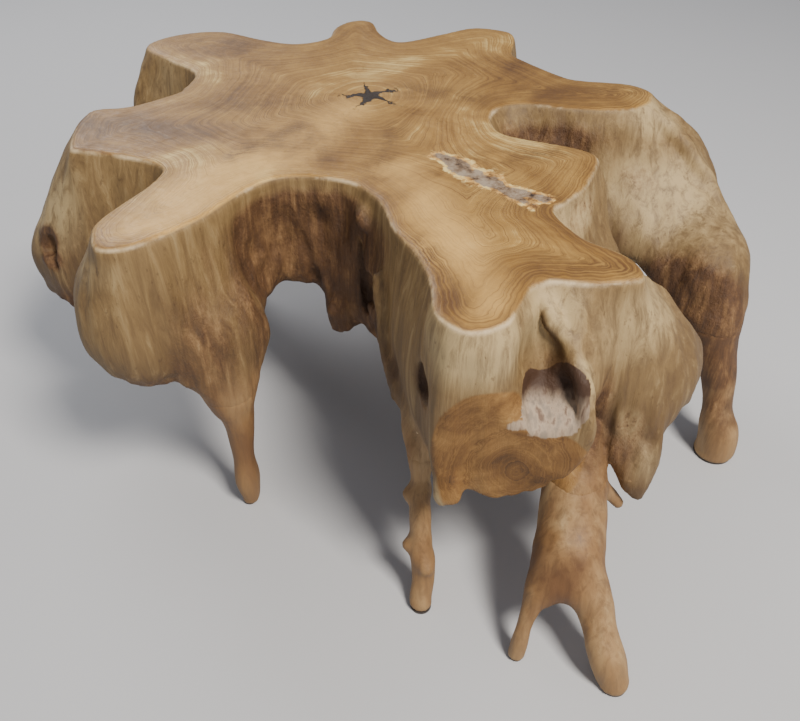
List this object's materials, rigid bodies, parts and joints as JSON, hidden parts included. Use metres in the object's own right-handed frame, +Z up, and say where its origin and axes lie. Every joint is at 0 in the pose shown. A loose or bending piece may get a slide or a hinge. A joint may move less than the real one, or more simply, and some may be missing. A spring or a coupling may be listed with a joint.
{
  "type": "root coffee table",
  "caption": "Low table cut from one teak root: a flat lobed top on deep flared walls, carried by dowelled branch legs, one of them forked.",
  "frame": {"origin": "on the floor, under the middle of the table's bounding box", "axes": "+Z up, +X to the right and +Y to the back for someone in front of the forked leg"},
  "size_m": [0.9919, 0.9238, 0.45],
  "materials": {
    "teak_crown": "satin",
    "teak_branch": "satin",
    "dowel_wood": "matte",
    "zinc_steel": "satin",
    "glide_plastic": "matte"
  },
  "bodies": {
    "root": {"root_crown": "teak_crown", "left_leg": "teak_branch", "middle_leg": "teak_branch", "right_leg": "teak_branch", "rear_left_leg": "teak_branch", "rear_right_leg": "teak_branch", "forked_leg": "teak_branch", "left_leg_dowel": "dowel_wood", "left_leg_coach_screw": "zinc_steel", "left_leg_washer": "zinc_steel", "middle_leg_dowel": "dowel_wood", "middle_leg_coach_screw": "zinc_steel", "middle_leg_washer": "zinc_steel", "right_leg_dowel": "dowel_wood", "right_leg_coach_screw": "zinc_steel", "right_leg_washer": "zinc_steel", "rear_left_leg_dowel": "dowel_wood", "rear_left_leg_coach_screw": "zinc_steel", "rear_left_leg_washer": "zinc_steel", "rear_right_leg_dowel": "dowel_wood", "rear_right_leg_coach_screw": "zinc_steel", "rear_right_leg_washer": "zinc_steel", "forked_leg_dowel": "dowel_wood", "forked_leg_coach_screw": "zinc_steel", "forked_leg_washer": "zinc_steel", "left_leg_glide": "glide_plastic", "left_leg_glide_nail": "zinc_steel", "middle_leg_glide": "glide_plastic", "middle_leg_glide_nail": "zinc_steel", "right_leg_glide": "glide_plastic", "right_leg_glide_nail": "zinc_steel", "rear_left_leg_glide": "glide_plastic", "rear_left_leg_glide_nail": "zinc_steel", "rear_right_leg_glide": "glide_plastic", "rear_right_leg_glide_nail": "zinc_steel", "left_toe_glide": "glide_plastic", "left_toe_glide_nail": "zinc_steel", "right_toe_glide": "glide_plastic", "right_toe_glide_nail": "zinc_steel"}
  },
  "joints": []
}
